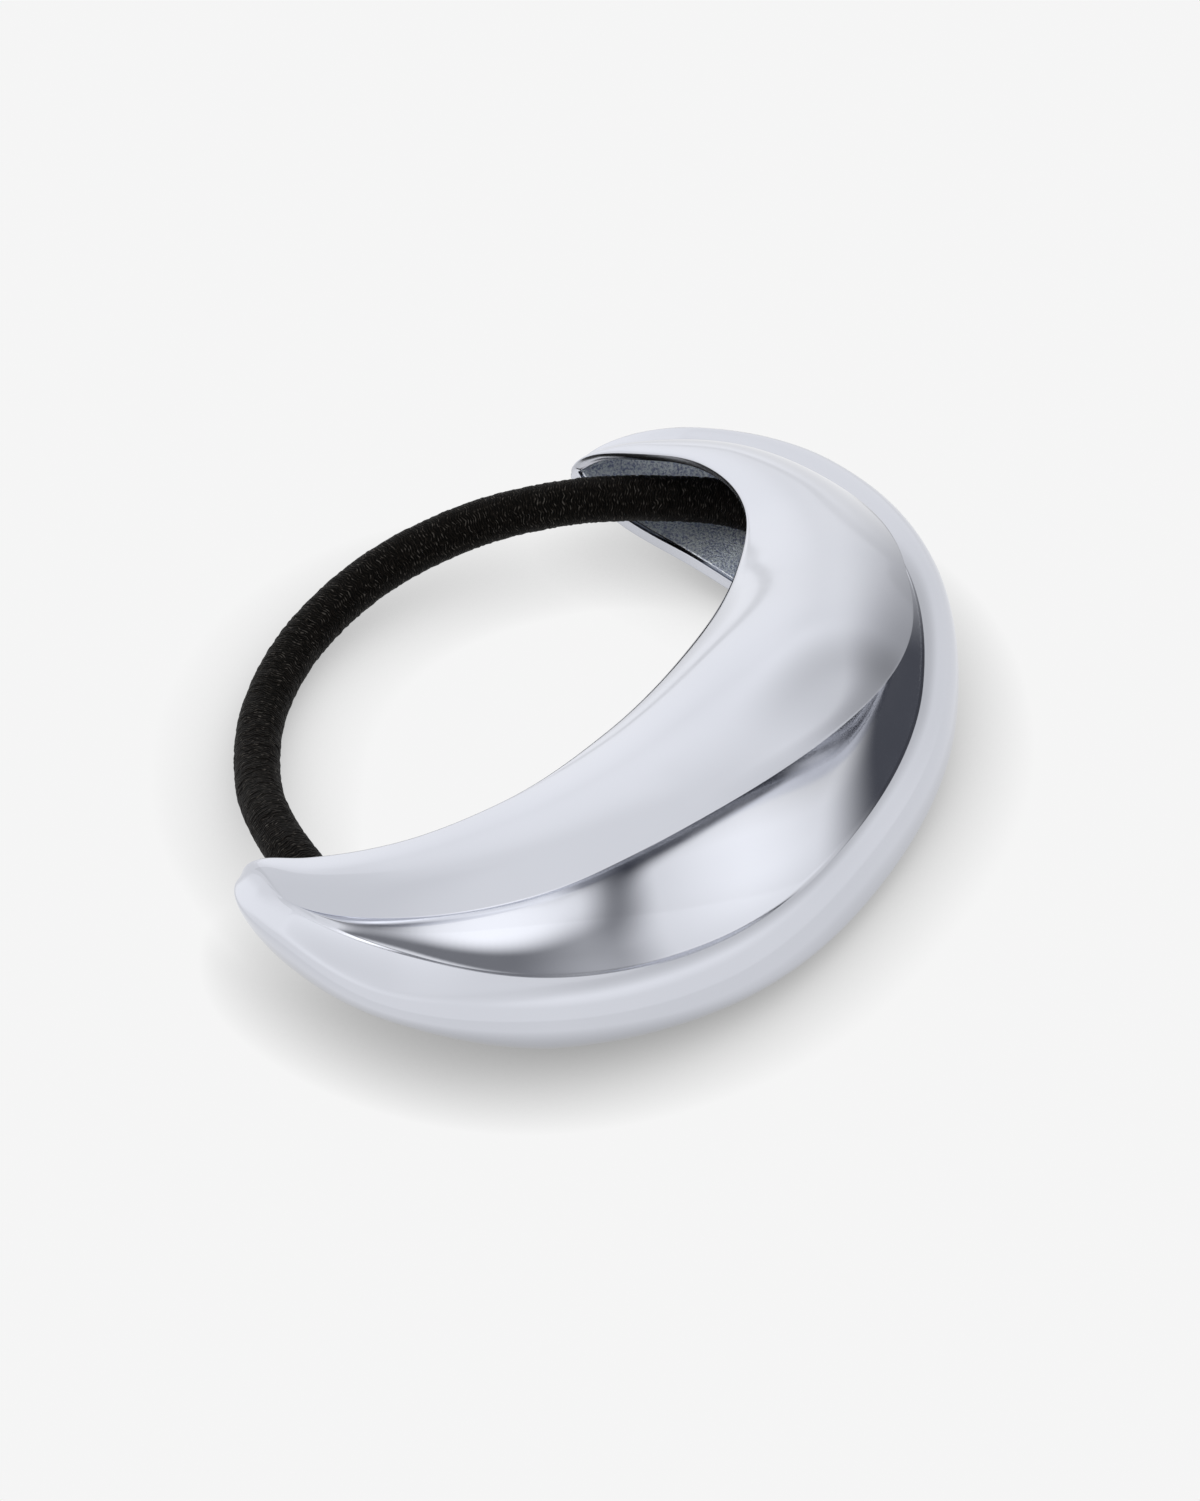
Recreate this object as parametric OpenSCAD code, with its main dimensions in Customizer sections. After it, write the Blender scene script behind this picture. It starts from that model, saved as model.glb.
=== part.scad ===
// Ponytail cuff: a hollow crescent shell of polished metal with a black hair elastic through it.
// It lies as it rests on a table: tips at the back, belly towards -Y, the elastic's free arc towards +Y.

/* [Shell] */
// Distance between the two tips, across the opening
tip_span = 55.2; // [52:0.2:58]
// Height of the leaf's edge at the belly
leaf_height = 24.1; // [23:0.1:26]
// Thickness of the metal
wall = 1; // [0.8:0.1:1.1]
// How much the leaf bulges, as a share of its width
leaf_dome = 0.16; // [0.12:0.01:0.2]
// Angle at which the lower band falls away from its crest
crown = 15; // [10:1:25]

/* [Elastic] */
// Thickness of the wrapped elastic
elastic_diameter = 3.7; // [3.2:0.1:3.8]

/* [Sleeve] */
// Length of the sleeve that closes the elastic's loop
sleeve_length = 6; // [4:0.5:8]
// Thickness of the sleeve's metal
sleeve_wall = 0.5; // [0.4:0.1:0.6]

/* [Hidden] */

// Sections of the shell by angle: 0 is the tip, 90 is the middle of the belly.
// Each pair is a radius from the middle between the tips, as a percentage of half of the tips' distance,
// and a height, as a percentage of the height of the leaf's edge at the belly.
ANGLES = [0, 3, 12, 26, 44, 65, 90];
RIM = [[99.5, 27.4], [99.3, 38.6], [101.4, 47.3], [103.3, 59.8], [100.4, 71.8], [93.5, 79.3], [90.6, 83.8]];
LEAF = [[99.5, 27.4], [103.4, 36.6], [116.7, 40.2], [127.2, 50.6], [135.5, 64.3], [143.1, 83.8], [155.4, 100.0]];
VALLEY = [[99.5, 27.4], [103.7, 36.2], [116.2, 39.8], [127.3, 44.8], [136.8, 50.0], [138.8, 55.8], [140.0, 61.0]];
CREST = [[99.5, 27.4], [104.0, 35.8], [117.0, 39.4], [130.8, 40.7], [146.4, 39.8], [147.5, 32.4], [144.2, 27.8]];
SIDE = [[99.5, 27.4], [115.0, 32.2], [130.4, 34.9], [149.6, 33.2], [158.7, 28.6], [158.0, 16.2], [153.6, 8.7]];
FOOT = [[99.5, 27.4], [96.7, 22.8], [99.6, 12.4], [104.3, 10.0], [120.3, 0.0], [129.7, 0.0], [131.2, 0.0]];

// The wall is no thicker than this share of a section's height, so that the tips stay hollow
TIP_WALL = 0.35;
// Ways from outer lines to the inner lines under them, in walls: radius, then height
RIM_INWARD = [0.2, -1];
LEAF_INWARD = [-0.1, 0.9];
CREST_INWARD = [-0.2, -1.05];
// How much shorter the hollow of the leaf is than the leaf, and how far the hollow stays under the crest, in walls
LEAF_SHORTER = 1.6;
UNDER_CREST = 1.2;
// Angles between which the hollow changes from a plain roof to one that follows the leaf and the valley
PLAIN_TO = 8;
FULL_FROM = 20;
// Keeps the direction of the valley's wall steady where the valley closes near a tip
VALLEY_LEAN = [0.6, -0.5];

// What one percent of a section's radius and height comes to
ACROSS = tip_span / 200;
UP = leaf_height / 100;

// The same angle at a tip, where leaf and band are one, and the angles between which it gives way to the crown
TIP_CROWN = 40;
CROWN_FROM = 1;
CROWN_TO = 12;
// How far a tip stands out past the line between the tips, and the angle up to which it does
NOSE = 0.008 * tip_span;
NOSE_TO = 6;

// Angle at which the hollow starts behind each tip
HOLLOW_START = 1.3;
// Share of the stations over which the hollow opens up to its full section
HOLLOW_ROUND = 0.2;
// Half of the number of stations between the tips, taken to a whole number
HALF = round(24);
// Steps along each of the four curves of a section, outside and inside
STEPS_OUT = 6;
STEPS_IN = 4;
// The crest stays this far below the leaf's edge, in percent of height, from this angle on
SEAM = 0.6;
SEAM_FROM = 3;
// Length of the curve handles of the band, as a share of its width and height
HANDLE = 0.55;
// Least height of the band above its widest line, as a share of the height below it
SHOULDER = 0.4;
// How far the line between the tips lies from the middle of the shell's reach
MIDDLE = (LEAF[6][0] * ACROSS - NOSE) / 2;

// Sides of the sleeve's circles
$fn = 48;
// Gap between the elastic and the sleeve around it
SLEEVE_GAP = 0.2;
// Gap between the sleeve and the hollow's floor
FLOOR_GAP = 0.15;
SLEEVE_BORE = elastic_diameter + 2 * SLEEVE_GAP;
SLEEVE_OUTSIDE = SLEEVE_BORE + 2 * sleeve_wall;
// Place of the sleeve's axis at the belly
SLEEVE_RADIUS = 136.2 * ACROSS;
SLEEVE_HEIGHT = wall + FLOOR_GAP + SLEEVE_OUTSIDE / 2;
// Sides of the elastic's section, and its rings along one stretch of the route
ELASTIC_SIDES = 8;
RINGS_PER_STEP = 3;
// Route of the elastic's centre line: across, forward from the tips to the belly, up
ROUTE = [
    [30.6, 13.3, 6.4],
    [27.0, 7.0, 7.4],
    [23.2, 0.9, 7.2],
    [18.9, -5.3, 5.4],
    [12.1, -10.0, 3.7],
    [3.6, -11.9, 2.5],
    [-5.4, -10.6, 2.3],
    [-14.0, -6.4, 3.4],
    [-20.6, -1.1, 5.6],
    [-26.2, 5.6, 7.2],
    [-30.6, 13.3, 6.4],
    [-30.6, 21.0, 5.6],
    [-25.4, 28.6, 4.0],
    [-14.8, 35.0, 3.5],
    [0.0, 37.6, 3.7],
    [14.8, 35.0, 3.5],
    [25.4, 28.6, 4.0],
    [30.6, 21.0, 5.6]
];

function turn(q) = 90 * (1 - cos(90 * q));
function share(a) = acos(1 - a / 90) / 90;
SHARES = [for (a = ANGLES) share(a)];
LAST = len(ANGLES) - 1;

function row(k) = [RIM[k], LEAF[k], VALLEY[k], CREST[k], SIDE[k], FOOT[k]];
function gap(k) = SHARES[k + 1] - SHARES[k];
function rise(k) = (row(k + 1) - row(k)) / gap(k);
function inner_slope(k) = (rise(k - 1) * gap(k) + rise(k) * gap(k - 1)) / (gap(k - 1) + gap(k));
function slope(k) = k == LAST ? 0 * row(k) : (k == 0 ? 1.5 * rise(0) - 0.5 * inner_slope(1) : inner_slope(k));
function find(q, k = 0) = k < LAST - 1 && q > SHARES[k + 1] ? find(q, k + 1) : k;
function blend(k, t) =
    (2 * t * t * t - 3 * t * t + 1) * row(k)
    + (t * t * t - 2 * t * t + t) * gap(k) * slope(k)
    + (3 * t * t - 2 * t * t * t) * row(k + 1)
    + (t * t * t - t * t) * gap(k) * slope(k + 1);
function lines(q) = let (k = find(q)) blend(k, (q - SHARES[k]) / gap(k));
function below(p, z) = [p[0], min(p[1], z)];
function settled(l, seam) = [l[0], l[1], l[2], below(l[3], l[1][1] - seam), l[4], [l[5][0], max(l[5][1], 0)]];
function sized(l) = [for (p = l) [p[0] * ACROSS, p[1] * UP]];
function outer_lines(a) = sized(settled(lines(share(a)), SEAM * min(1, a / SEAM_FROM)));
function mix(a, b, f) = a + f * (b - a);
function inner_lines(a) =
    let (
        l = outer_lines(a),
        w = min(wall, TIP_WALL * (l[0][1] - l[5][1])),
        rim = l[0] + w * RIM_INWARD,
        crest = l[3] + w * CREST_INWARD,
        f = max(0, 1 - LEAF_SHORTER * w / norm(l[1] - l[0])),
        leaf = rim + f * (l[1] - l[0] + w * LEAF_INWARD),
        down = l[3] - l[1] + w * VALLEY_LEAN,
        valley = l[2] + w / norm(down) * [down[1], -down[0]],
        full = max(0, min(1, (a - PLAIN_TO) / (FULL_FROM - PLAIN_TO)))
    )
    [
        rim,
        mix(mix(rim, crest, 0.5), leaf, full),
        mix(mix(rim, crest, 0.75), valley, full),
        crest,
        [l[4][0] - w, min(l[4][1], l[3][1] - UNDER_CREST * w)],
        l[5] + [0, w]
    ];

function leaf_point(l, s) =
    let (c = l[1] - l[0])
    l[0] + s * c + 4 * s * (1 - s) * leaf_dome * [-c[1], c[0]];
function arc2(a, b, c, s) = (1 - s) * (1 - s) * a + 2 * s * (1 - s) * b + s * s * c;
function arc3(a, b, c, d, s) = (1 - s) * arc2(a, b, c, s) + s * arc2(b, c, d, s);
function valley_point(l, s) = arc2(l[1], 2 * l[2] - (l[1] + l[3]) / 2, l[3], s);
function eased(t) = t * t * (3 - 2 * t);
function crown_at(a) =
    mix(TIP_CROWN, crown, eased(max(0, min(1, (a - CROWN_FROM) / (CROWN_TO - CROWN_FROM)))));
function top_point(l, c, s) =
    let (
        w = (l[4][0] - l[3][0]) * HANDLE,
        h = max(l[3][1] - l[4][1], SHOULDER * (l[4][1] - l[5][1])) * HANDLE
    )
    arc3(l[3], l[3] + w * [cos(c), -sin(c)], l[4] + [0, h], l[4], s);
function under_point(l, s) =
    let (w = (l[4][0] - l[5][0]) * HANDLE, h = (l[5][1] - l[4][1]) * HANDLE)
    arc3(l[4], l[4] + [0, h], l[5] + [w, 0], l[5], s);
function section(l, c, n) = concat(
    [for (i = [0:n - 1]) leaf_point(l, i / n)],
    [for (i = [0:n - 1]) valley_point(l, i / n)],
    [for (i = [0:n - 1]) top_point(l, c, i / n)],
    [for (i = [0:n]) under_point(l, i / n)]
);
function middle(l) = (l[0] + l[5]) / 2;
function shrunk(ps, c, f) = [for (i = [len(ps) - 1:-1:0]) c + f * (ps[i] - c)];

function nose_at(a) = NOSE * pow(max(0, 1 - a / NOSE_TO), 2);
// A point of the section at an angle, put into the object's frame; side is -1 or 1
function place(p, a, side) = [side * p[0] * cos(a), MIDDLE - p[0] * sin(a) + nose_at(a), p[1]];

function station(i) =
    let (
        side = i < HALF ? -1 : 1,
        q = 1 - abs(i - HALF) / HALF,
        a = turn(q),
        b = HOLLOW_START + (90 - HOLLOW_START) * a / 90,
        inner = inner_lines(b),
        open = sin(90 * min(1, q / HOLLOW_ROUND))
    )
    concat(
        [for (p = section(outer_lines(a), crown_at(a), STEPS_OUT)) place(p, a, side)],
        [for (p = shrunk(section(inner, crown, STEPS_IN), middle(inner), open)) place(p, b, side)]
    );

OUT = 4 * STEPS_OUT + 1;
IN = 4 * STEPS_IN + 1;
LOOP = OUT + IN;
STATIONS = 2 * HALF - 1;
LEFT = STATIONS * LOOP;
RIGHT = LEFT + 2;

function pole(side) = [
    place(outer_lines(0)[0], 0, side),
    place(middle(inner_lines(HOLLOW_START)), HOLLOW_START, side)
];
SHELL_POINTS = concat(
    [for (i = [1:STATIONS]) each station(i)],
    pole(-1),
    pole(1)
);
SHELL_FACES = concat(
    [for (i = [0:STATIONS - 2], j = [0:LOOP - 1])
        let (a = i * LOOP + j, b = i * LOOP + (j + 1) % LOOP)
        each [[a, b + LOOP, b], [a, a + LOOP, b + LOOP]]],
    [for (j = [0:OUT - 2]) [LEFT, j, j + 1]],
    [for (j = [OUT:LOOP - 2]) [LEFT + 1, j, j + 1]],
    [[LEFT, OUT - 1, OUT], [LEFT, OUT, LEFT + 1]],
    [[LEFT + 1, 0, LEFT], [LEFT + 1, LOOP - 1, 0]],
    let (n = (STATIONS - 1) * LOOP)
    concat(
        [for (j = [0:OUT - 2]) [RIGHT, n + j + 1, n + j]],
        [for (j = [OUT:LOOP - 2]) [RIGHT + 1, n + j + 1, n + j]],
        [[RIGHT, n + OUT, n + OUT - 1], [RIGHT, RIGHT + 1, n + OUT]],
        [[RIGHT + 1, RIGHT, n], [RIGHT + 1, n, n + LOOP - 1]]
    )
);

function spot(i) =
    let (p = ROUTE[(i + len(ROUTE)) % len(ROUTE)])
    [p[0], MIDDLE - p[1], p[2]];
function smooth(i, t) =
    let (a = spot(i - 1), b = spot(i), c = spot(i + 1), d = spot(i + 2))
    b + 0.5 * t * (c - a + t * (2 * a - 5 * b + 4 * c - d + t * (3 * (b - c) + d - a)));
CENTRES = [for (i = [0:len(ROUTE) - 1], k = [0:RINGS_PER_STEP - 1]) smooth(i, k / RINGS_PER_STEP)];
RINGS = len(CENTRES);
function ring(i) =
    let (
        c = CENTRES[i],
        d = CENTRES[(i + 1) % RINGS] - CENTRES[(i + RINGS - 1) % RINGS],
        along = d / norm(d),
        flat = cross(along, [0, 0, 1]),
        out = flat / norm(flat),
        up = cross(out, along)
    )
    [for (k = [0:ELASTIC_SIDES - 1])
        let (w = 360 * (k + 0.5) / ELASTIC_SIDES)
        c + elastic_diameter / 2 * (cos(w) * out + sin(w) * up)];
ELASTIC_POINTS = [for (i = [0:RINGS - 1]) each ring(i)];
ELASTIC_FACES = [
    for (i = [0:RINGS - 1], k = [0:ELASTIC_SIDES - 1])
        let (
            a = i * ELASTIC_SIDES + k,
            b = i * ELASTIC_SIDES + (k + 1) % ELASTIC_SIDES,
            c = ((i + 1) % RINGS) * ELASTIC_SIDES + (k + 1) % ELASTIC_SIDES,
            d = ((i + 1) % RINGS) * ELASTIC_SIDES + k
        )
        each [[a, b, c], [a, c, d]]
];

module shell() {
    color("silver")
    polyhedron(points = SHELL_POINTS, faces = SHELL_FACES, convexity = 6);
}

module elastic() {
    color("black")
    polyhedron(points = ELASTIC_POINTS, faces = ELASTIC_FACES, convexity = 6);
}

module elastic_sleeve() {
    color("gray")
    translate([0, MIDDLE - SLEEVE_RADIUS, SLEEVE_HEIGHT])
    rotate([0, 90, 0])
    difference() {
        cylinder(h = sleeve_length, d = SLEEVE_OUTSIDE, center = true);
        cylinder(h = sleeve_length + 2, d = SLEEVE_BORE, center = true);
    }
}

shell();
elastic();
elastic_sleeve();
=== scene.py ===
"""Ponytail cuff: polished hollow crescent shell and black wound elastic, on a pale floor. Metres, +Z up."""

import math
import random

import bmesh
import bpy
import numpy as np
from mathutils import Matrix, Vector


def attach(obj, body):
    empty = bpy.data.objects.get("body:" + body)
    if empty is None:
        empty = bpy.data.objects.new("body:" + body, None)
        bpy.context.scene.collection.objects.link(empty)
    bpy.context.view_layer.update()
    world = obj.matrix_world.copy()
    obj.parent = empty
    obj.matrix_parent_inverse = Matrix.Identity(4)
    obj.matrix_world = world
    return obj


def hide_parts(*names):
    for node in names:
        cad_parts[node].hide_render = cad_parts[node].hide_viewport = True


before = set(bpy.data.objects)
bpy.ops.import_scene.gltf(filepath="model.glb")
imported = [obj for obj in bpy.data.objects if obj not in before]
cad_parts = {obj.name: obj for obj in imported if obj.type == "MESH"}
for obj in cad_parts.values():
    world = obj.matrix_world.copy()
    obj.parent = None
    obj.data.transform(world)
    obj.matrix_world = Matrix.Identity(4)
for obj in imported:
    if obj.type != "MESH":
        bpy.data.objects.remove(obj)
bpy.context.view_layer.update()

MM = 0.001

# Driving sizes of the shell, as in the part's source: distance between the tips, height of the leaf's edge at
# the belly, and thickness of the metal
TIP_SPAN = 55.2 * MM
LEAF_HEIGHT = 24.1 * MM
WALL = 1.0 * MM

# Sections of the shell by angle, as in the part's source: 0 is the tip, 90 is the middle of the belly. Each
# pair is a radius from the middle between the tips, as a percentage of half of the tips' distance, and a
# height, as a percentage of the leaf's height.
ANGLES = np.array([0, 3, 12, 26, 44, 65, 90], float)
RIM = [
    [99.5, 27.4], [99.3, 38.6], [101.4, 47.3], [103.3, 59.8], [100.4, 71.8], [93.5, 79.3], [90.6, 83.8],
]
LEAF = [
    [99.5, 27.4], [103.4, 36.6], [116.7, 40.2], [127.2, 50.6], [135.5, 64.3], [143.1, 83.8], [155.4, 100.0],
]
VALLEY = [
    [99.5, 27.4], [103.7, 36.2], [116.2, 39.8], [127.3, 44.8], [136.8, 50.0], [138.8, 55.8], [140.0, 61.0],
]
CREST = [
    [99.5, 27.4], [104.0, 35.8], [117.0, 39.4], [130.8, 40.7], [146.4, 39.8], [147.5, 32.4], [144.2, 27.8],
]
SIDE = [
    [99.5, 27.4], [115.0, 32.2], [130.4, 34.9], [149.6, 33.2], [158.7, 28.6], [158.0, 16.2], [153.6, 8.7],
]
FOOT = [
    [99.5, 27.4], [96.7, 22.8], [99.6, 12.4], [104.3, 10.0], [120.3, 0.0], [129.7, 0.0], [131.2, 0.0],
]
QUARTER = 90.0

# How much the leaf bulges, as a share of its width
LEAF_DOME = 0.16
# Angle at which the band falls away from its crest, at the belly and at a tip, and the angles round the shell
# between which one gives way to the other
CROWN = math.radians(15)
TIP_CROWN = math.radians(40)
CROWN_FROM, CROWN_TO = 1.0, 12.0
# How far a tip stands out past the line between the tips, and the angle up to which it does
NOSE = 0.008 * TIP_SPAN
NOSE_TO = 6.0
# Length of the band's curve handles, and least height of the band over its widest line, as shares
HANDLE = 0.55
SHOULDER = 0.4
# The crest stays this far below the leaf's edge, in full from this angle on
SEAM = 0.006 * LEAF_HEIGHT
SEAM_FROM = 3.0
# How far the line between the tips lies from the middle of the shell's reach
MIDDLE = (LEAF[-1][0] / 100 * TIP_SPAN / 2 - NOSE) / 2

# The wall is no thicker than this share of a section's height
TIP_WALL = 0.35
# Ways from outer lines to the inner lines under them, in walls: radius, then height
RIM_INWARD = np.array([0.2, -1.0])
LEAF_INWARD = np.array([-0.1, 0.9])
CREST_INWARD = np.array([-0.2, -1.05])
# Keeps the direction of the valley's wall steady where the valley closes near a tip
VALLEY_LEAN = np.array([0.6, -0.5])
# How much shorter the leaf's hollow is than the leaf, and how far the hollow stays under the crest, in walls
LEAF_SHORTER = 1.6
UNDER_CREST = 1.2
# Angles between which the hollow changes from a plain roof to one that follows the leaf and the valley, and
# where those two lines lie on the plain roof, as shares of the way from the rim to the crest
PLAIN_TO, FULL_FROM = 8.0, 20.0
PLAIN_LEAF, PLAIN_VALLEY = 0.5, 0.75
# Angle at which the hollow starts behind a tip, and the share of the way round over which it opens up
HOLLOW_START = 1.3
HOLLOW_ROUND = 0.2

# Points of a section along its four outer curves, its four inner ones, and each face that joins the two
OUTER_POINTS = (30, 30, 16, 22)
INNER_POINTS = (20, 14, 10, 16)
FACE_POINTS = 8
# Points of the plain curves before they are softened
OUTER_FINE, INNER_FINE, FACE_FINE = 60, 40, 20
# Sections from each tip to the belly
SIDE_STATIONS = 130
# Rounding of the sharp edges and of the rim, how far round the rim it reaches, and the most that it may be,
# as a share of an outline's length
EDGE_ROUND = 0.06 * MM
RIM_ROUND = 0.5 * MM
RIM_REACH = 0.9 * MM
MOST_ROUND = 0.02
# Shortest step and thinnest sliver of a mesh that count
TINY_STEP = 1e-15
SAME_POINT = 1e-7
SLIVER = 1e-8

# Route of the elastic's centre line, as in the part's source, in mm: across, forward from the tips, up
ROUTE = [
    (30.6, 13.3, 6.4), (27.0, 7.0, 7.4), (23.2, 0.9, 7.2), (18.9, -5.3, 5.4), (12.1, -10.0, 3.7),
    (3.6, -11.9, 2.5), (-5.4, -10.6, 2.3), (-14.0, -6.4, 3.4), (-20.6, -1.1, 5.6), (-26.2, 5.6, 7.2),
    (-30.6, 13.3, 6.4), (-30.6, 21.0, 5.6), (-25.4, 28.6, 4.0), (-14.8, 35.0, 3.5), (0.0, 37.6, 3.7),
    (14.8, 35.0, 3.5), (25.4, 28.6, 4.0), (30.6, 21.0, 5.6),
]
# The route's point where the loop is closed, inside the sleeve
CLOSED_AT = 5
ELASTIC_DIAMETER = 3.7 * MM
# Steps of the yarn's mesh along and round the elastic, steps between its knots, and knots round it
YARN_STEPS, YARN_SIDES = 2700, 34
KNOT_STEPS, KNOTS_ROUND = 4, 12
YARN_RELIEF = 0.05 * MM
# Steps of the mesh from one point of the cord's path to the next
PATH_STEPS = 25

# The camera: how the photograph looks at the cuff, the size of its pixels, and where the middle between the
# tips shows in it
VIEW_AZIMUTH = math.radians(298.5)
VIEW_ELEVATION = math.radians(42)
PIXEL = 0.08 * MM
PHOTO_SIZE = (1200, 1501)
TIPS_IN_PHOTO = (412.3, 662.0)
TIPS_HEIGHT = 8.0 * MM
FOCAL_LENGTH = 1000
SENSOR = 36
NEAREST, FARTHEST = 0.01, 20

# The floor: half its width, its glow in the open and where the sky is hidden, and how near a thing paints
# shadow on it
FLOOR_HALF = 2.0
FLOOR_SQUARES = 4
FLOOR_GLOW, FLOOR_SHADED = 0.915, 0.295
SHADE_REACH = 7.2 * MM
# Painted reflection glow that only reflections see, from far away from a place behind the cuff to near it
MIRROR_PLACE = (130 * MM, 155 * MM, 0)
MIRROR_FAR, MIRROR_NEAR = 150 * MM, 60 * MM
MIRROR_LEAST, MIRROR_MOST = 0.05, 0.28

# The tent's light, and its brighter and darker patches: azimuth, elevation and spread in degrees, strength
TENT_LIGHT = 1.04
TENT_PATCHES = (
    (55, 12, 26, 0.14),
    (50, 0, 60, 0.06),
    (38, 58, 38, 0.17),
    (-52, 62, 36, 0.17),
    (-6, 58, 38, -0.4),
    (-20, 14, 30, -0.07),
)

# The sheet that carries painted reflections: its first angle from the left tip and the degrees it covers, one
# square each, its rows, its gap to the shell, and its height over the leaf's edge. Levels run from 0 at the
# crest to 1 at the leaf's edge and 2 at the sheet's top.
FLAG_FROM, FLAG_DEGREES = 2, 176
FLAG_ROWS = 16
FLAG_LEVELS = 2
FLAG_GAP = 0.3 * MM
FLAG_HEIGHT = 26 * MM

# Its pattern of painted reflections: dark patches, and white cards that glow. A pair is where a soft step
# starts and where it ends, in degrees from the left tip, in levels, or in mm of the way that a reflection has
# come. Three numbers are a hump's middle, reach and strength. A slant says how much of one of these measures is
# added to the other.
VALLEY_TOP = (0.97, 1.0)
SECOND_BOUNCE = (1.4, 1.6)
BELLY_DARK, BELLY_FROM, BELLY_TO, BELLY_SLANT = 0.91, (81, 97), (119, 142), -2.3
LEAF_DARK, LEAF_WAYS, LEAF_FROM, LEAF_SLANT = 0.86, (-16.5, -13.8), (52, 58), -0.33
COLUMN, COLUMN_LEVELS = (55, 6, 0.62), (0.18, 0.44)
CREST_DARK, CREST_WEAKER = (0.76, 0.52), (40, 51)
CREST_START, CREST_SLANT, CREST_SOFT, CREST_TO = 0.455, -0.0095, (-0.03, 0.05), (53, 61)
CARD, CARD_LEVELS = (38, 20, 0.5), (0.32, 0.46)
MIDDLE_CARD, MIDDLE_WAYS, MIDDLE_LEAST = (75, 22, 0.38), (0, 2.5), 0.35
FAR_CARD, FAR_WAYS, FAR_FROM, FAR_TO, FAR_SLANT = 0.9, (-1.4, -0.9), (16, 24), (45, 52), -0.1
STRIP_DARK, STRIP_FROM, STRIP_LEVELS = 0.92, (49, 56), (0.06, 0.12)
GAP, GAP_WAYS = (96, 10, 0.9), (2, 5)
STRIP_CARD, STRIP_CARD_TO = 1.2, (46, 54)
FENCE, LEFT_FENCE, LEFT_FENCE_TO, FENCE_LEVELS = (101, 40, 0.55), 0.11, (20, 36), (1, 2)
BAND_CARD, BAND_FROM, BAND_TO, BAND_LEVELS = 0.1, (6, 30), (70, 96), (1.2, 1.8)
# What the painted darks keep of red, green and blue
DARK_TINT = (0.0, 0.004, 0.02)


def new_object(name, bm, materials):
    """A smooth object made of a bmesh, which is used up."""
    mesh = bpy.data.meshes.new(name)
    bm.to_mesh(mesh)
    bm.free()
    piece = bpy.data.objects.new(name, mesh)
    bpy.context.scene.collection.objects.link(piece)
    for material in materials:
        mesh.materials.append(material)
    for face in mesh.polygons:
        face.use_smooth = True
    return piece


def link(tree, out, into):
    tree.links.new(out, into)


def give(tree, socket, value):
    """Set a socket to a value, or link it to the output of another node."""
    if isinstance(value, bpy.types.NodeSocket):
        tree.links.new(value, socket)
    else:
        socket.default_value = value


def maths(tree, operation, *values):
    """A Math node whose inputs are numbers or the outputs of other nodes."""
    made = tree.nodes.new("ShaderNodeMath")
    made.operation = operation
    for socket, value in zip(made.inputs, values):
        give(tree, socket, value)
    return made.outputs[0]


def times(tree, first, *others):
    """The product of several values."""
    for other in others:
        first = maths(tree, "MULTIPLY", first, other)
    return first


def less(tree, value, *darks):
    """A value with one share after another taken off it."""
    for dark in darks:
        value = maths(tree, "MULTIPLY", value, maths(tree, "SUBTRACT", 1.0, dark))
    return value


def either(tree, share, first, second):
    """A share of one value, and the rest of another."""
    return maths(tree, "ADD", maths(tree, "MULTIPLY", share, first), less(tree, second, share))


def between(tree, value, low, high, at_low=0.0, at_high=1.0, interpolation="SMOOTHSTEP"):
    """A step from one number at a low value to another at a high one, soft unless it is linear."""
    made = tree.nodes.new("ShaderNodeMapRange")
    made.interpolation_type = interpolation
    ends = {"Value": value, "From Min": low, "From Max": high, "To Min": at_low, "To Max": at_high}
    for name, end in ends.items():
        give(tree, made.inputs[name], end)
    return made.outputs["Result"]


def hump(tree, value, middle, reach, height):
    """A soft hump of a value, zero from its reach on."""
    away = maths(tree, "ABSOLUTE", maths(tree, "SUBTRACT", value, middle))
    return between(tree, away, 0.0, reach, height, 0.0)


def colours(tree, value, *stops):
    """A colour ramp through the stops, each a place and a colour."""
    made = tree.nodes.new("ShaderNodeValToRGB")
    ramp = made.color_ramp
    for place, colour in stops[1:-1]:
        ramp.elements.new(place)
    for element, (place, colour) in zip(ramp.elements, stops):
        element.position = place
        element.color = (*colour, 1)
    tree.links.new(value, made.inputs["Fac"])
    return made.outputs["Color"]


def mixed(tree, share, first, second):
    """One colour giving way to another."""
    made = tree.nodes.new("ShaderNodeMix")
    made.data_type = "RGBA"
    colour_inputs = [socket for socket in made.inputs if socket.type == "RGBA"]
    for socket, value in zip([made.inputs["Factor"], *colour_inputs], (share, first, second)):
        give(tree, socket, value)
    return next(socket for socket in made.outputs if socket.type == "RGBA")


def noise(tree, vector, scale, detail=2.0, roughness=0.5):
    made = tree.nodes.new("ShaderNodeTexNoise")
    for name, value in {"Vector": vector, "Scale": scale, "Detail": detail, "Roughness": roughness}.items():
        give(tree, made.inputs[name], value)
    return made.outputs["Fac"]


def places(tree, kind="Object"):
    return tree.nodes.new("ShaderNodeTexCoord").outputs[kind]


def parted(tree, vector):
    """The first two numbers of a vector."""
    made = tree.nodes.new("ShaderNodeSeparateXYZ")
    link(tree, vector, made.inputs[0])
    return made.outputs["X"], made.outputs["Y"]


def relief(tree, shader, height, distance):
    """Bumps of a surface, as deep as the distance where the height goes from 0 to 1."""
    made = tree.nodes.new("ShaderNodeBump")
    made.inputs["Strength"].default_value = 1.0
    made.inputs["Distance"].default_value = distance
    link(tree, height, made.inputs["Height"])
    link(tree, made.outputs["Normal"], shader.inputs["Normal"])


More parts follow.
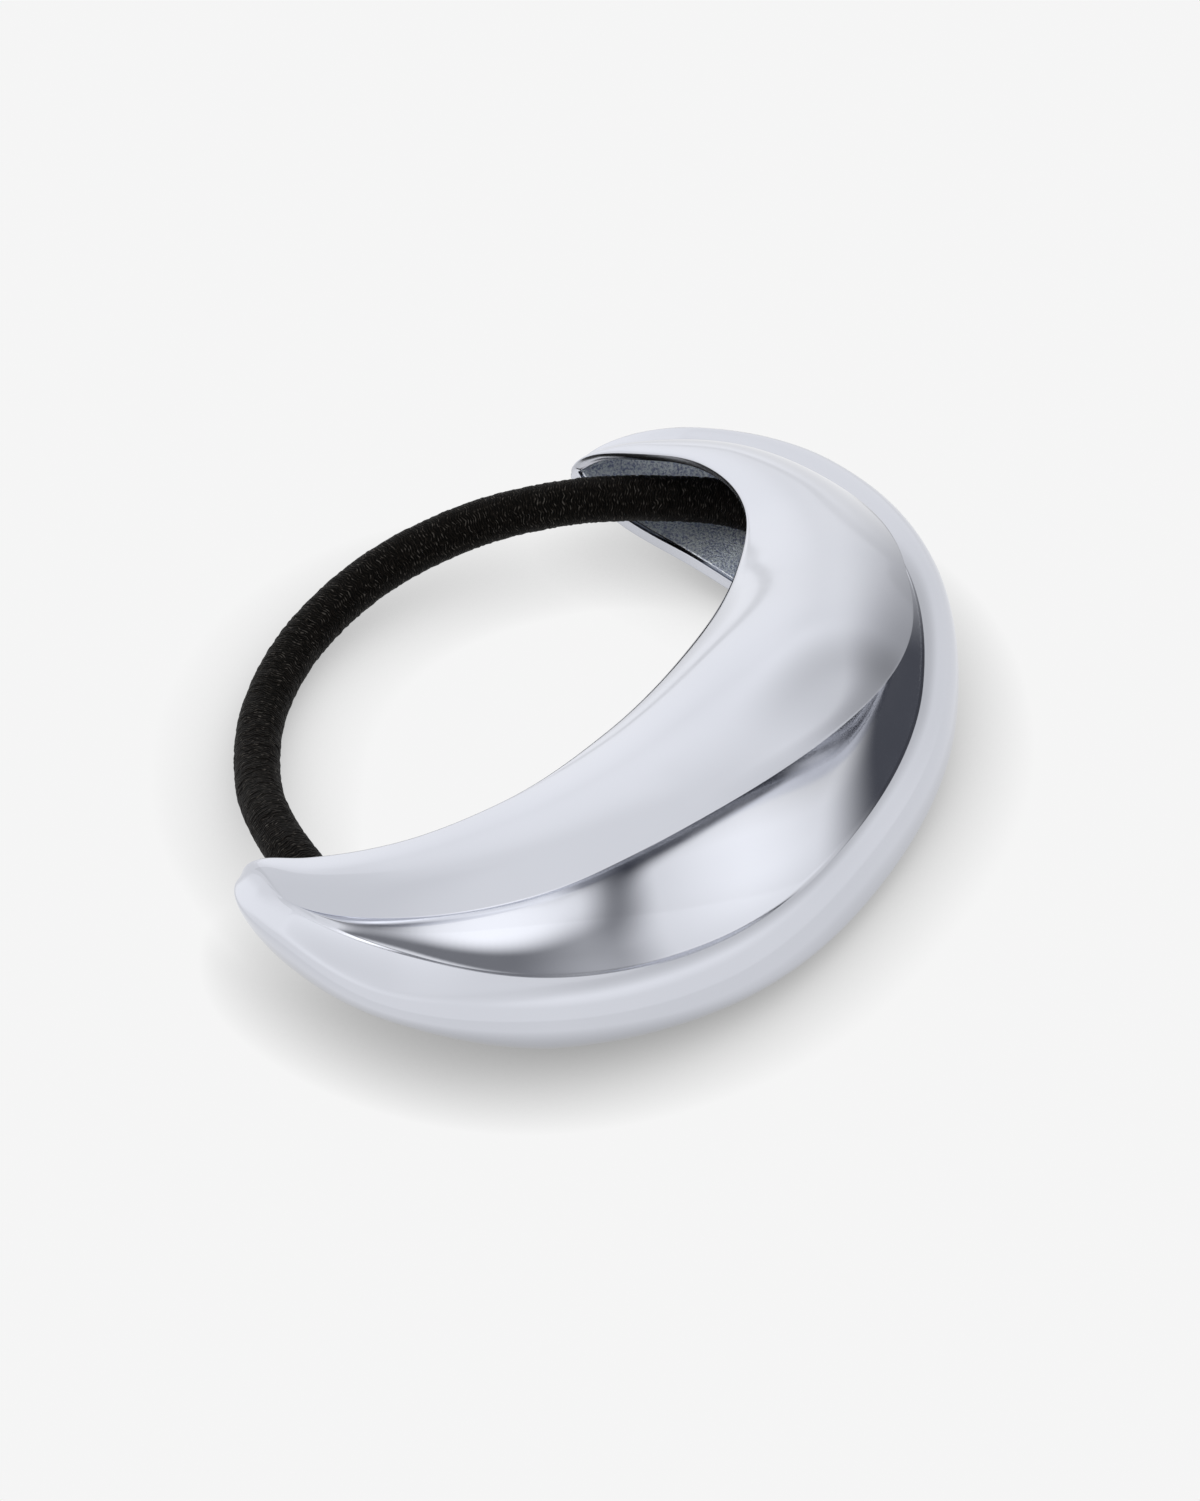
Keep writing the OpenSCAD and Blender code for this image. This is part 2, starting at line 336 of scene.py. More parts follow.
def principled(name, colour, metallic=0.0, roughness=0.5):
    material = bpy.data.materials.new(name)
    material.use_nodes = True
    shader = material.node_tree.nodes["Principled BSDF"]
    shader.inputs["Base Color"].default_value = (*colour, 1)
    shader.inputs["Metallic"].default_value = metallic
    shader.inputs["Roughness"].default_value = roughness
    return material, material.node_tree, shader


def cloudy_group():
    """Metal that is never quite even: a node group with a slow drift of tint and a finer one of gloss."""
    group = bpy.data.node_groups.new("cloudy metal", "ShaderNodeTree")
    numbers = ("Tint Scale", "Gloss Scale", "Gloss Detail", "Gloss To", "Glossiest", "Dullest")
    kinds = {"Vector": "Vector", "Dark Tint": "Color", "Light Tint": "Color"}
    kinds.update(dict.fromkeys(numbers, "Float"))
    for name, kind in kinds.items():
        group.interface.new_socket(name=name, in_out="INPUT", socket_type="NodeSocket" + kind)
    for name, kind in (("Color", "Color"), ("Roughness", "Float")):
        group.interface.new_socket(name=name, in_out="OUTPUT", socket_type="NodeSocket" + kind)
    given = group.nodes.new("NodeGroupInput").outputs
    drift = noise(group, given["Vector"], given["Tint Scale"])
    tint = between(group, drift, 0.3, 0.7, interpolation="LINEAR")
    clouds = noise(group, given["Vector"], given["Gloss Scale"], given["Gloss Detail"])
    gloss = between(group, clouds, 0.3, given["Gloss To"], given["Glossiest"], given["Dullest"])
    result = group.nodes.new("NodeGroupOutput").inputs
    link(group, mixed(group, tint, given["Dark Tint"], given["Light Tint"]), result["Color"])
    link(group, gloss, result["Roughness"])
    return group


def make_cloudy(tree, shader, group, values):
    """Give a metal the group's tint and gloss, with this metal's own values."""
    made = tree.nodes.new("ShaderNodeGroup")
    made.node_tree = group
    link(tree, places(tree), made.inputs["Vector"])
    for name, value in values.items():
        made.inputs[name].default_value = value
    link(tree, made.outputs["Color"], shader.inputs["Base Color"])
    link(tree, made.outputs["Roughness"], shader.inputs["Roughness"])


def polished_metal(group):
    material, tree, shader = principled("polished metal", (0.62, 0.635, 0.69), 1.0, 0.1)
    make_cloudy(tree, shader, group, {
        "Tint Scale": 60.0, "Dark Tint": (0.585, 0.6, 0.655, 1), "Light Tint": (0.61, 0.625, 0.68, 1),
        "Gloss Scale": 450.0, "Gloss Detail": 3.0, "Gloss To": 0.75, "Glossiest": 0.085, "Dullest": 0.13,
    })
    return material


def sleeve_metal(group):
    material, tree, shader = principled("sleeve metal", (0.5, 0.51, 0.54), 1.0, 0.35)
    make_cloudy(tree, shader, group, {
        "Tint Scale": 900.0, "Dark Tint": (0.42, 0.43, 0.46, 1), "Light Tint": (0.55, 0.56, 0.6, 1),
        "Gloss Scale": 2500.0, "Gloss Detail": 2.0, "Gloss To": 0.7, "Glossiest": 0.28, "Dullest": 0.42,
    })
    return material


def grainy_hollow():
    """The hollow as it was cast, except for a lip along its edge that was polished with the outside."""
    material, tree, shader = principled("grainy hollow", (0.5, 0.52, 0.57), 0.75, 0.45)
    spot = places(tree)
    inside = tree.nodes.new("ShaderNodeAttribute")
    inside.attribute_name = "depth"
    depth = inside.outputs["Fac"]
    cast = between(tree, depth, 0.4, 0.62)
    grain = noise(tree, spot, 5200.0, 2.0, 0.7)
    mottle = noise(tree, spot, 900.0, 2.0, 0.6)
    grit = maths(tree, "MULTIPLY_ADD", mottle, 0.25, maths(tree, "MULTIPLY", grain, 0.75))
    rough_cast = colours(tree, grit, (0.37, (0.31, 0.345, 0.5)), (0.57, (0.93, 0.98, 1.0)))
    # A fine line of painted shade runs along the lip, where its bevel meets the wall
    off_shade_line = maths(tree, "ABSOLUTE", maths(tree, "SUBTRACT", depth, 0.16))
    beside_shade_line = between(tree, off_shade_line, 0.03, 0.12)
    lip = colours(tree, beside_shade_line, (0.0, (0.2, 0.21, 0.25)), (1.0, (0.62, 0.635, 0.69)))
    link(tree, mixed(tree, cast, lip, rough_cast), shader.inputs["Base Color"])
    link(tree, between(tree, cast, 0.0, 1.0, 0.2, 0.46), shader.inputs["Roughness"])
    link(tree, between(tree, cast, 0.0, 1.0, 1.0, 0.76), shader.inputs["Metallic"])
    relief(tree, shader, maths(tree, "MULTIPLY", grit, cast), 0.13 * MM)
    return material


def black_yarn():
    """Ribs of wound yarn, with painted shade in their low places and painted glints on the stitches. The UV map
    is in mm: u along the elastic, v round it.
    """
    material, tree, shader = principled("black yarn", (0.004, 0.0035, 0.003), 0.0, 0.55)
    shader.inputs["Specular IOR Level"].default_value = 0.045
    wrap = places(tree, "UV")
    u, v = parted(tree, wrap)
    sway = maths(tree, "MULTIPLY", maths(tree, "PINGPONG", v, 0.55), 0.35)
    drift = maths(tree, "MULTIPLY", noise(tree, wrap, 1.1, 2.0), 0.6)
    along = maths(tree, "ADD", maths(tree, "ADD", u, sway), drift)
    rib_width = 0.28
    wave = maths(tree, "SINE", maths(tree, "MULTIPLY", along, 2 * math.pi / rib_width))
    rib = maths(tree, "MULTIPLY_ADD", wave, 0.5, 0.5)
    # Short crosswise stitches of yarn, longer round the elastic than along it
    stretch = tree.nodes.new("ShaderNodeCombineXYZ")
    link(tree, maths(tree, "MULTIPLY", along, 4.2), stretch.inputs["X"])
    link(tree, maths(tree, "MULTIPLY", v, 1.5), stretch.inputs["Y"])
    stitch = noise(tree, stretch.outputs[0], 1.0, 2.0, 0.6)
    # Painted glints: highlights on some stitches, put into the colour
    painted_glint = between(tree, noise(tree, stretch.outputs[0], 1.7, 0.0, 0.5), 0.56, 0.7)
    height = maths(tree, "MULTIPLY", maths(tree, "MULTIPLY_ADD", rib, 0.7, 0.3), stitch)
    painted_light_level = maths(tree, "ADD", height, maths(tree, "MULTIPLY", painted_glint, 0.32))
    # The ramp paints shade in the low places of ribs and stitches, and lightens the high ones and the glints
    black = colours(
        tree, painted_light_level,
        (0.12, (0.0003, 0.0002, 0.0001)), (0.36, (0.0018, 0.0013, 0.0009)),
        (0.58, (0.009, 0.0071, 0.0056)), (0.9, (0.065, 0.059, 0.053)),
    )
    link(tree, black, shader.inputs["Base Color"])
    relief(tree, shader, height, 0.14 * MM)
    return material


def floor_paper():
    """Paper that glows like a light table, with painted shadow, from an occlusion node, only close to what
    stands on it.
    """
    material, tree, shader = principled("pale floor", (0.0, 0.0, 0.0), 0.0, 1.0)
    shader.inputs["Specular IOR Level"].default_value = 0.0
    shader.inputs["Emission Color"].default_value = (1, 1, 1, 1)
    near = tree.nodes.new("ShaderNodeAmbientOcclusion")
    near.inputs["Distance"].default_value = SHADE_REACH
    shaded = maths(tree, "MULTIPLY_ADD", near.outputs["AO"], FLOOR_GLOW - FLOOR_SHADED, FLOOR_SHADED)
    # Painted reflection: reflections see the table a little brighter, and most of all behind the cuff
    behind = tree.nodes.new("ShaderNodeVectorMath")
    behind.operation = "DISTANCE"
    link(tree, places(tree), behind.inputs[0])
    behind.inputs[1].default_value = MIRROR_PLACE
    painted_reflection_glow = between(tree, behind.outputs["Value"], MIRROR_FAR, MIRROR_NEAR, MIRROR_LEAST, MIRROR_MOST)
    seen_in_metal = tree.nodes.new("ShaderNodeLightPath").outputs["Is Glossy Ray"]
    link(tree, maths(tree, "MULTIPLY_ADD", painted_reflection_glow, seen_in_metal, shaded), shader.inputs["Emission Strength"])
    return material


def painted_reflection_once(tree, turn, level, way):
    """Painted reflection as one mirroring shows it: dark behind the belly, under the leaf, on the crest and in
    a column; glowing cards.

    The first value is how clear the cloth is, the second how bright its white cards are.
    """
    slant = maths(tree, "MULTIPLY_ADD", way, BELLY_SLANT, turn)
    belly = between(tree, slant, *BELLY_FROM, 0, BELLY_DARK)
    belly = times(tree, belly, between(tree, turn, *BELLY_TO, 1, 0))
    slant = maths(tree, "MULTIPLY_ADD", turn, LEAF_SLANT, way)
    under_leaf = times(tree, between(tree, slant, *LEAF_WAYS, 0, LEAF_DARK), between(tree, turn, *LEAF_FROM))
    column = times(tree, hump(tree, turn, *COLUMN), between(tree, level, *COLUMN_LEVELS))
    above = between(tree, level, *CARD_LEVELS)
    start = maths(tree, "MULTIPLY_ADD", turn, CREST_SLANT, CREST_START)
    along_crest = times(
        tree,
        between(tree, maths(tree, "SUBTRACT", level, start), *CREST_SOFT),
        between(tree, turn, *CREST_WEAKER, *CREST_DARK),
        between(tree, turn, *CREST_TO, 1, 0),
    )
    clear = less(tree, 1.0, belly, less(tree, along_crest, above), column, under_leaf)
    card = times(tree, hump(tree, turn, *CARD), above)
    near = between(tree, way, *MIDDLE_WAYS, MIDDLE_LEAST, 1)
    card = maths(tree, "ADD", card, times(tree, hump(tree, turn, *MIDDLE_CARD), near))
    slant = maths(tree, "MULTIPLY_ADD", turn, FAR_SLANT, way)
    far_left = times(
        tree,
        between(tree, slant, *FAR_WAYS),
        between(tree, turn, *FAR_FROM, 0, FAR_CARD),
        between(tree, turn, *FAR_TO, 1, 0),
    )
    return clear, less(tree, maths(tree, "ADD", card, far_left), belly, column, under_leaf)


def painted_reflection_twice(tree, turn, level, way):
    """Painted reflection in the strip right under the leaf's edge, as two mirrorings show it: bright on the
    left, then dark.
    """
    strip = between(tree, turn, *STRIP_FROM, 0, STRIP_DARK)
    strip = times(tree, strip, between(tree, level, *STRIP_LEVELS, 1, 0))
    gap = times(tree, hump(tree, turn, *GAP), between(tree, way, *GAP_WAYS, 1, 0))
    return less(tree, 1.0, less(tree, strip, gap)), between(tree, turn, *STRIP_CARD_TO, STRIP_CARD, 0)


def painted_reflection_cloth():
    """Cloth that paints reflections: clear, dark or a glowing white card where it is mirrored. UV: u is the
    angle in degrees, v the level.
    """
    material = bpy.data.materials.new("flag cloth")
    material.use_nodes = True
    tree = material.node_tree
    tree.nodes.remove(tree.nodes["Principled BSDF"])
    turn, level = parted(tree, places(tree, "UV"))
    light_path = tree.nodes.new("ShaderNodeLightPath")
    # How far a reflection has come: from the crest a short way, from under the leaf's edge a long one
    way = maths(tree, "MULTIPLY", light_path.outputs["Ray Length"], 1 / MM)
    once = between(tree, light_path.outputs["Glossy Depth"], *SECOND_BOUNCE, 1, 0)
    over_valley = between(tree, level, *VALLEY_TOP, 1, 0)
    clear_once, card_once = painted_reflection_once(tree, turn, level, way)
    clear_twice, card_twice = painted_reflection_twice(tree, turn, level, way)
    # Above the leaf's edge the cloth paints a darker reflection on the leaf's end, and its other side paints a
    # brighter one on the band on the left
    fence = maths(tree, "ADD", hump(tree, turn, *FENCE), between(tree, turn, *LEFT_FENCE_TO, LEFT_FENCE, 0))
    fence = times(tree, fence, between(tree, level, *FENCE_LEVELS, 1, 0))
    clear = either(tree, over_valley, either(tree, once, clear_once, clear_twice), less(tree, 1.0, fence))
    card = times(tree, over_valley, either(tree, once, card_once, card_twice))
    band_card = times(
        tree,
        between(tree, turn, *BAND_FROM, 0, BAND_CARD),
        between(tree, level, *BAND_LEVELS, 1, 0),
        between(tree, turn, *BAND_TO, 1, 0),
    )
    tint = tree.nodes.new("ShaderNodeCombineColor")
    for name, kept in zip(("Red", "Green", "Blue"), DARK_TINT):
        link(tree, maths(tree, "MULTIPLY_ADD", clear, 1 - kept, kept), tint.inputs[name])
    # Only rays that leave the valley meet the dark side, so the band beside it stays free of it
    sides = tree.nodes.new("ShaderNodeMixShader")
    link(tree, tree.nodes.new("ShaderNodeNewGeometry").outputs["Backfacing"], sides.inputs["Fac"])
    link(tree, glowing_gauze(tree, less(tree, band_card, over_valley)), sides.inputs[1])
    link(tree, glowing_gauze(tree, card, tint.outputs["Color"]), sides.inputs[2])
    link(tree, sides.outputs[0], tree.nodes["Material Output"].inputs["Surface"])
    return material


def glowing_gauze(tree, brightness, tint=(1, 1, 1, 1)):
    """A see-through shader that also glows, for painted bright reflections."""
    see_through = tree.nodes.new("ShaderNodeBsdfTransparent")
    give(tree, see_through.inputs["Color"], tint)
    shine = tree.nodes.new("ShaderNodeEmission")
    link(tree, brightness, shine.inputs["Strength"])
    both = tree.nodes.new("ShaderNodeAddShader")
    link(tree, see_through.outputs[0], both.inputs[0])
    link(tree, shine.outputs[0], both.inputs[1])
    return both.outputs[0]


def way_round(angle):
    """Share of the way from a tip to the belly. Equal shares are short steps of angle near the tip."""
    return np.degrees(np.arccos(np.clip(1 - angle / QUARTER, -1, 1))) / QUARTER


def angle_at(share):
    """The angle at a share of that way."""
    return QUARTER * (1 - np.cos(np.radians(QUARTER * share)))


def outer_lines(angle):
    """Rim, leaf edge, valley, crest, side and foot of the section at an angle, each as radius and height."""
    rows = np.stack([np.array(line, float) for line in (RIM, LEAF, VALLEY, CREST, SIDE, FOOT)], axis=1)
    rows = rows / 100.0 * np.array([TIP_SPAN / 2, LEAF_HEIGHT])
    ways, share = way_round(ANGLES), float(way_round(angle))
    gaps = np.diff(ways)
    rises = np.diff(rows, axis=0) / gaps[:, None, None]
    before, after = gaps[:-1, None, None], gaps[1:, None, None]
    slopes = np.zeros_like(rows)
    slopes[1:-1] = (rises[:-1] * after + rises[1:] * before) / (before + after)
    slopes[0] = 1.5 * rises[0] - 0.5 * slopes[1]
    k = int(np.clip(np.searchsorted(ways, share) - 1, 0, len(ways) - 2))
    t = (share - ways[k]) / gaps[k]
    lines = (
        (2 * t**3 - 3 * t**2 + 1) * rows[k]
        + (t**3 - 2 * t**2 + t) * gaps[k] * slopes[k]
        + (3 * t**2 - 2 * t**3) * rows[k + 1]
        + (t**3 - t**2) * gaps[k] * slopes[k + 1]
    )
    rim, leaf, valley, crest, side, foot = lines
    crest[1] = min(crest[1], leaf[1] - SEAM * min(1.0, angle / SEAM_FROM))
    foot[1] = max(foot[1], 0.0)
    return lines


def inner_lines(angle):
    """The same lines of the hollow, under the metal's wall."""
    rim, leaf, valley, crest, side, foot = outer_lines(angle)
    wall = min(WALL, TIP_WALL * (rim[1] - foot[1]))
    shorter = max(0.0, 1 - LEAF_SHORTER * wall / np.linalg.norm(leaf - rim))
    down = crest - leaf + wall * VALLEY_LEAN
    inner_rim = rim + wall * RIM_INWARD
    inner_crest = crest + wall * CREST_INWARD
    roof = inner_crest - inner_rim
    inner_leaf = inner_rim + shorter * (leaf - rim + wall * LEAF_INWARD)
    inner_valley = valley + wall / np.linalg.norm(down) * np.array([down[1], -down[0]])
    full = min(1.0, max(0.0, (angle - PLAIN_TO) / (FULL_FROM - PLAIN_TO)))
    inner_leaf = (1 - full) * (inner_rim + PLAIN_LEAF * roof) + full * inner_leaf
    inner_valley = (1 - full) * (inner_rim + PLAIN_VALLEY * roof) + full * inner_valley
    inner_side = np.array([side[0] - wall, min(side[1], crest[1] - UNDER_CREST * wall)])
    return np.array([inner_rim, inner_leaf, inner_valley, inner_crest, inner_side, foot + [0, wall]])


def crown_at(angle):
    """How steeply the band falls away from its crest: more at the tips, where leaf and band are one."""
    t = min(1.0, max(0.0, (angle - CROWN_FROM) / (CROWN_TO - CROWN_FROM)))
    return TIP_CROWN + (CROWN - TIP_CROWN) * t * t * (3 - 2 * t)


def nose_at(angle):
    """How far a section near a tip leans out past the line between the tips."""
    return NOSE * np.clip(1 - angle / NOSE_TO, 0, 1) ** 2


def in_space(side, radius, height, angle):
    """Points of sections as places in the frame. The side is -1 for the left half and 1 for the right one."""
    turned = np.radians(angle)
    ahead = radius * np.sin(turned) - nose_at(angle)
    return np.stack([side * radius * np.cos(turned), MIDDLE - ahead, height], axis=-1)


def curves(lines, count, fall):
    """The four curves of a section as points: leaf, valley, band's top and band's underside."""
    s = np.linspace(0, 1, count)[:, None]
    rim, leaf, valley, crest, side, foot = lines
    chord = leaf - rim
    dome = rim + s * chord + 4 * s * (1 - s) * LEAF_DOME * np.array([-chord[1], chord[0]])
    bend = 2 * valley - (leaf + crest) / 2
    hollow = (1 - s) ** 2 * leaf + 2 * s * (1 - s) * bend + s**2 * crest

    def cubic(a, b, c, d):
        return (1 - s) ** 3 * a + 3 * s * (1 - s) ** 2 * b + 3 * s**2 * (1 - s) * c + s**3 * d

    wide = (side[0] - crest[0]) * HANDLE
    high = max(crest[1] - side[1], SHOULDER * (side[1] - foot[1])) * HANDLE
    top = cubic(crest, crest + wide * np.array([math.cos(fall), -math.sin(fall)]), side + [0, high], side)
    wide = (side[0] - foot[0]) * HANDLE
    high = (foot[1] - side[1]) * HANDLE
    under = cubic(side, side + [0, high], foot + [wide, 0], foot)
    return dome, hollow, top, under


def softened(loop, spots, radius):
    """Points of a closed outline at the given lengths, with every corner rounded by a short running mean."""
    closed = np.vstack([loop, loop[:1]])
    steps = np.linalg.norm(np.diff(closed, axis=0), axis=1)
    ends = np.concatenate([[0], np.cumsum(steps)])
    means = (closed[1:] + closed[:-1]) / 2 * steps[:, None]
    sums = np.concatenate([[[0, 0]], np.cumsum(means, axis=0)])

    def integral(length):
        turns, rest = np.floor(length / ends[-1]), np.mod(length, ends[-1])
        k = np.clip(np.searchsorted(ends, rest, side="right") - 1, 0, len(steps) - 1)
        part = rest - ends[k]
        share = part / np.maximum(steps[k], TINY_STEP)
        here = closed[k] + share[:, None] * (closed[k + 1] - closed[k])
        return turns[:, None] * sums[-1] + sums[k] + (closed[k] + here) / 2 * part[:, None]

    return (integral(spots + radius) - integral(spots - radius)) / (2 * radius[:, None])


def section_outline(angle, hollow_angle, opened):
    """One closed section: outside from rim to foot, round the foot's edge, inside back to the rim.

    The third number of each point is how deep it lies in the hollow, from the nearer edge.
    """
    outer = curves(outer_lines(angle), OUTER_FINE, crown_at(angle))
    lines = inner_lines(hollow_angle)
    centre = (lines[0] + lines[-1]) / 2
    inner = [centre + opened * (curve - centre) for curve in curves(lines, INNER_FINE, CROWN)]
    stretches = list(zip(outer, OUTER_POINTS))
    stretches.append((np.linspace(outer[-1][-1], inner[-1][-1], FACE_FINE), FACE_POINTS))
    stretches += [(curve[::-1], count) for curve, count in zip(reversed(inner), reversed(INNER_POINTS))]
    stretches.append((np.linspace(inner[0][0], outer[0][0], FACE_FINE), FACE_POINTS))
    loop, spots, starts, at = [], [], [], 0.0
    for curve, count in stretches:
        starts.append(at)
        length = np.linalg.norm(np.diff(curve, axis=0), axis=1).sum()
        spots.append(at + length * (1 - np.cos(math.pi * np.arange(count) / count)) / 2)
        loop.append(curve[:-1])
        at += length
    spots = np.concatenate(spots)
    # The outline starts at the rim, so the way to the rim is the shorter way round
    to_rim = np.minimum(spots, at - spots) - WALL / 2
    rounding = EDGE_ROUND + (RIM_ROUND - EDGE_ROUND) * np.exp(-((to_rim / RIM_REACH) ** 2))
    hollow_from, hollow_to = starts[len(outer) + 1], starts[-1]
    deep = np.clip(np.minimum(spots - hollow_from, hollow_to - spots), 0, None)
    rounding = np.minimum(rounding, MOST_ROUND * at)
    return np.column_stack([softened(np.concatenate(loop), spots, rounding), deep])


def tip_section(side, inward):
    """The section that closes the shell at a tip: its outside in one point, its hollow in one behind it."""
    lines = inner_lines(HOLLOW_START)
    outside = in_space(side, *outer_lines(0.0)[0], 0.0)
    hollow = in_space(side, *(lines[0] + lines[-1]) / 2, HOLLOW_START)
    return np.column_stack([outside + inward[:, None] * (hollow - outside), np.zeros(len(inward))])


def shell_grid():
    """Every point of the shell with its depth in the hollow, section by section from the left tip."""
    climb = np.arange(1, FACE_POINTS) / FACE_POINTS
    outside, inside = np.zeros(sum(OUTER_POINTS) + 1), np.ones(sum(INNER_POINTS) + 1)
    inward = np.concatenate([outside, climb, inside, 1 - climb])
    sections = [tip_section(-1, inward)]
    for i in range(1, 2 * SIDE_STATIONS):
        side = -1 if i < SIDE_STATIONS else 1
        share = 1 - abs(i - SIDE_STATIONS) / SIDE_STATIONS
        angle = float(angle_at(share))
        hollow_angle = HOLLOW_START + (QUARTER - HOLLOW_START) * angle / QUARTER
        opened = math.sin(math.pi / 2 * min(1.0, share / HOLLOW_ROUND))
        outline = section_outline(angle, hollow_angle, opened)
        turned = angle + (hollow_angle - angle) * inward
        spots = in_space(side, outline[:, 0], outline[:, 1], turned)
        sections.append(np.column_stack([spots, outline[:, 2]]))
    sections.append(tip_section(1, inward))
    return np.array(sections)


def make_shell(polished, grainy):
    """The shell as a closed grid of sections, grainy from the foot's edge through the hollow to the rim."""
    grid = shell_grid()
    along, around = len(grid) - 1, grid.shape[1]
    bm = bmesh.new()
    bmesh.ops.create_grid(bm, x_segments=along, y_segments=around, size=0.5)
    for face in bm.faces:
        first = min(round((vertex.co.y + 0.5) * around) for vertex in face.verts)
        face.material_index = int(first >= sum(OUTER_POINTS))
    depth = bm.verts.layers.float.new("depth")
    for vertex in bm.verts:
        i = round((vertex.co.x + 0.5) * along)
        j = round((vertex.co.y + 0.5) * around) % around
        vertex.co = Vector(grid[i, j, :3])
        vertex[depth] = grid[i, j, 3] / MM
    bmesh.ops.remove_doubles(bm, verts=bm.verts, dist=SAME_POINT)
    bmesh.ops.dissolve_degenerate(bm, edges=bm.edges, dist=SLIVER)
    bmesh.ops.recalc_face_normals(bm, faces=bm.faces)
    return new_object("crescent_shell", bm, [polished, grainy])


def route_points(per_step):
    """Points of a smooth closed curve through the route's points."""
    spots = np.array([(x, MIDDLE / MM - y, z) for x, y, z in ROUTE]) * MM
    a, b, c, d = (np.roll(spots, k, axis=0) for k in (1, 0, -1, -2))
    points = []
    for k in range(per_step):
        t = k / per_step
        points.append(b + 0.5 * t * (c - a + t * (2 * a - 5 * b + 4 * c - d + t * (3 * (b - c) + d - a))))
    return np.stack(points, axis=1).reshape(-1, 3)


def proud(knots, along, around):
    """How proud the yarn stands at a place counted in knots, from -1 to 1."""
    k, part = divmod(along, 1)
    m, turn_part = divmod(around, 1)
    low, high = (
        row[int(m)] * (1 - turn_part) + row[(int(m) + 1) % KNOTS_ROUND] * turn_part
        for row in (knots[int(k) % len(knots)], knots[(int(k) + 1) % len(knots)])
    )
    return low + part * part * (3 - 2 * part) * (high - low)


def make_elastic(yarn):
    """The wound elastic and its centre line. Its UV map is in mm."""
    centres = route_points(YARN_STEPS // len(ROUTE))
    ahead = np.roll(centres, -1, axis=0) - np.roll(centres, 1, axis=0)
    ahead /= np.linalg.norm(ahead, axis=1)[:, None]
    flat = np.cross(ahead, [0, 0, 1.0])
    flat /= np.linalg.norm(flat, axis=1)[:, None]
    up = np.cross(flat, ahead)
    # Turns of yarn stand a little proud, uneven along and round the elastic
    chance = random.Random(5)
    rows = YARN_STEPS // KNOT_STEPS
    knots = np.array([[chance.uniform(-1, 1) for _ in range(KNOTS_ROUND)] for _ in range(rows)])
    bm = bmesh.new()
    bmesh.ops.create_grid(bm, x_segments=YARN_STEPS, y_segments=YARN_SIDES, size=0.5, calc_uvs=True)
    sheet = bm.loops.layers.uv.verify()
    length = np.linalg.norm(np.roll(centres, -1, axis=0) - centres, axis=1).sum() / MM
    girth = math.pi * ELASTIC_DIAMETER / MM
    for face in bm.faces:
        for corner in face.loops:
            corner[sheet].uv = ((corner.vert.co.x + 0.5) * length, (corner.vert.co.y + 0.5) * girth)
    for vertex in bm.verts:
        i = round((vertex.co.x + 0.5) * YARN_STEPS) % YARN_STEPS
        j = round((vertex.co.y + 0.5) * YARN_SIDES) % YARN_SIDES
        turned = 2 * math.pi * j / YARN_SIDES
        out = math.cos(turned) * flat[i] + math.sin(turned) * up[i]
        bump = YARN_RELIEF * proud(knots, i / KNOT_STEPS, KNOTS_ROUND * j / YARN_SIDES)
        vertex.co = Vector(centres[i] + (ELASTIC_DIAMETER / 2 + bump) * out)
    bmesh.ops.remove_doubles(bm, verts=bm.verts, dist=SAME_POINT)
    bmesh.ops.recalc_face_normals(bm, faces=bm.faces)
    return new_object("wound_elastic", bm, [yarn]), centres


def make_camera():
    """The photograph's view, through a long lens because it is nearly parallel."""
    back = Vector((
        math.sin(VIEW_AZIMUTH) * math.cos(VIEW_ELEVATION),
        -math.cos(VIEW_AZIMUTH) * math.cos(VIEW_ELEVATION),
        math.sin(VIEW_ELEVATION),
    ))
    turned = (-back).to_track_quat("-Z", "Y")
    right = turned @ Vector((1, 0, 0))
    up = turned @ Vector((0, 1, 0))
    tips = Vector((0, MIDDLE, TIPS_HEIGHT))
    tips_right = (TIPS_IN_PHOTO[0] - PHOTO_SIZE[0] / 2) * PIXEL
    tips_up = (PHOTO_SIZE[1] / 2 - TIPS_IN_PHOTO[1]) * PIXEL
    target = tips - right * tips_right - up * tips_up
    lens = bpy.data.cameras.new("camera")
    lens.sensor_fit = "VERTICAL"
    lens.sensor_height = SENSOR
    lens.lens = FOCAL_LENGTH
    lens.clip_start = NEAREST
    lens.clip_end = FARTHEST
    camera = bpy.data.objects.new("camera", lens)
    camera.rotation_mode = "QUATERNION"
    camera.rotation_quaternion = turned
    camera.location = target + back * PHOTO_SIZE[1] * PIXEL * FOCAL_LENGTH / SENSOR
    bpy.context.scene.collection.objects.link(camera)
    bpy.context.scene.camera = camera


def make_floor(paper):
    bm = bmesh.new()
    bmesh.ops.create_grid(bm, x_segments=FLOOR_SQUARES, y_segments=FLOOR_SQUARES, size=FLOOR_HALF)
    return new_object("floor", bm, [paper])


